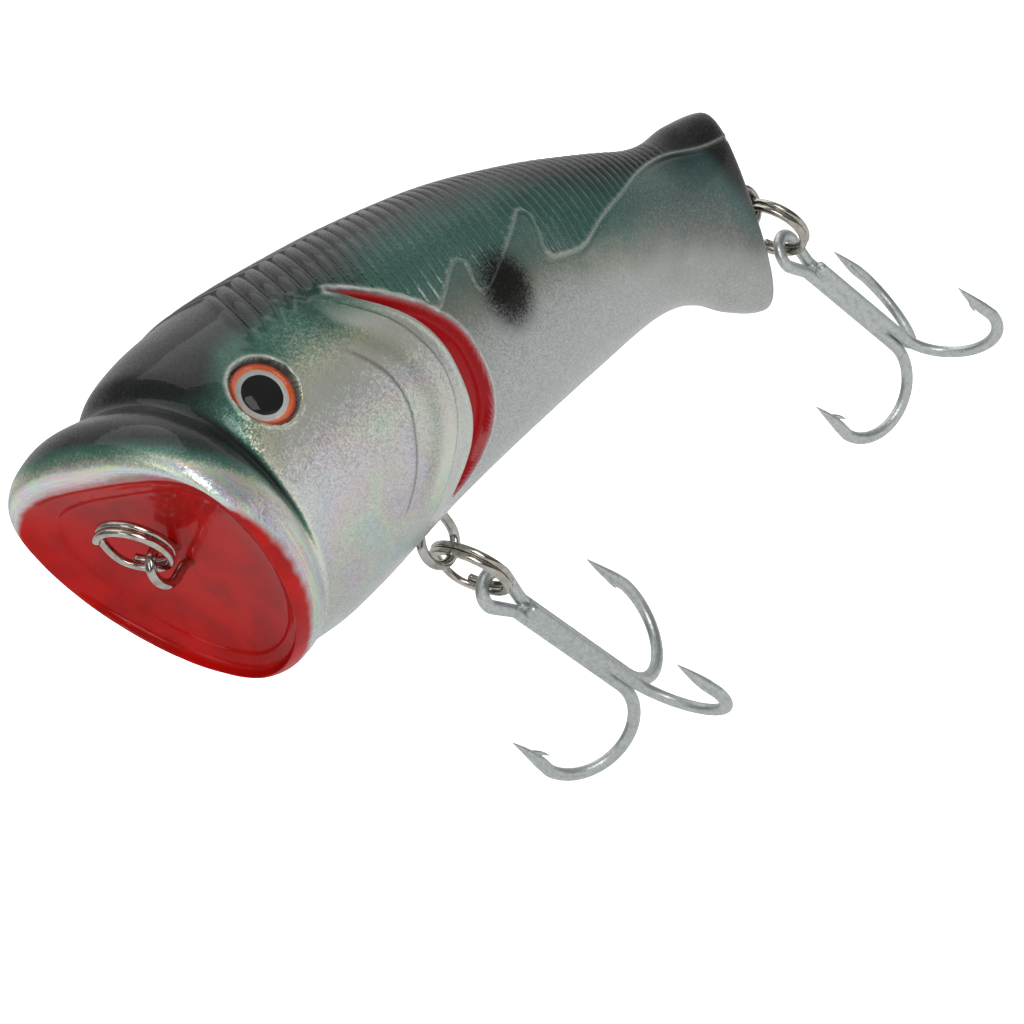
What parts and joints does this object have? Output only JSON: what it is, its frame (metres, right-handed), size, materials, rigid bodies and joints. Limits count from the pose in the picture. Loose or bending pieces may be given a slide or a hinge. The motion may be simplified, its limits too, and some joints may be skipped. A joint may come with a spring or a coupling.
{
  "type": "topwater popper fishing lure",
  "caption": "Hard-bodied topwater popper with a dished mouth, sculpted back, glued eyes, split rings and treble hooks.",
  "frame": {"origin": "centre of the nose split ring, where a line or snap is tied", "axes": "+X from the nose to the tail, +Z towards the back, -Y towards the left flank"},
  "size_m": [0.1933, 0.043, 0.0961],
  "materials": {
    "painted_body": "moulded plastic, taken as ABS, sprayed silver, teal and black with a clear gloss coat; mouth and gill slits red",
    "stainless_wire": "bright drawn stainless wire",
    "nickel_ring": "polished nickel plated spring wire",
    "eye_foil": "printed foil: orange rim, silver iris, black pupil",
    "eye_resin": "clear cast resin dome",
    "tinned_hook": "tinned forged hook wire, satin",
    "braze": "solder run between the shanks, satin",
    "ballast_steel": "plain steel slug",
    "rattle_steel": "polished bearing ball"
  },
  "bodies": {
    "lure_body": {"left_body_shell": "painted_body", "right_body_shell": "painted_body", "line_tie_hanger": "stainless_wire", "belly_hanger": "stainless_wire", "tail_hanger": "stainless_wire", "left_eye_foil": "eye_foil", "right_eye_foil": "eye_foil", "left_eye_dome": "eye_resin", "right_eye_dome": "eye_resin", "belly_ballast": "ballast_steel", "tail_ballast": "ballast_steel"},
    "nose_ring": {"nose_split_ring": "nickel_ring"},
    "belly_ring": {"belly_split_ring": "nickel_ring"},
    "tail_ring": {"tail_split_ring": "nickel_ring"},
    "front_treble": {"front_double_hook": "tinned_hook", "front_single_hook": "tinned_hook", "front_hook_braze": "braze"},
    "rear_treble": {"rear_double_hook": "tinned_hook", "rear_single_hook": "tinned_hook", "rear_hook_braze": "braze"},
    "rattle": {"rattle_ball": "rattle_steel"}
  },
  "joints": [
    {"name": "nose_ring_tilt", "type": "hinge", "parent": "lure_body", "child": "nose_ring", "pos_m": [0.00325, 0, -0.00387], "axis": [0, 1, 0], "range_deg": [-115, 20]},
    {"name": "belly_ring_swing", "type": "hinge", "parent": "lure_body", "child": "belly_ring", "pos_m": [0.05556, 0, -0.02533], "axis": [0.7986, 0, 0.6018], "range_deg": [-45, 45]},
    {"name": "tail_ring_swing", "type": "hinge", "parent": "lure_body", "child": "tail_ring", "pos_m": [0.14915, 0, -0.00302], "axis": [0.8387, 0, 0.5446], "range_deg": [-45, 45]},
    {"name": "front_treble_swing", "type": "hinge", "parent": "belly_ring", "child": "front_treble", "pos_m": [0.06147, 0, -0.0331], "axis": [0, 1, 0], "range_deg": [-20, 70]},
    {"name": "rear_treble_swing", "type": "hinge", "parent": "tail_ring", "child": "rear_treble", "pos_m": [0.15378, 0, -0.01308], "axis": [0, 1, 0], "range_deg": [-60, 60]},
    {"name": "rattle_slide", "type": "slide", "parent": "lure_body", "child": "rattle", "axis": [1, 0, 0], "range_m": [0, 0.008]}
  ]
}
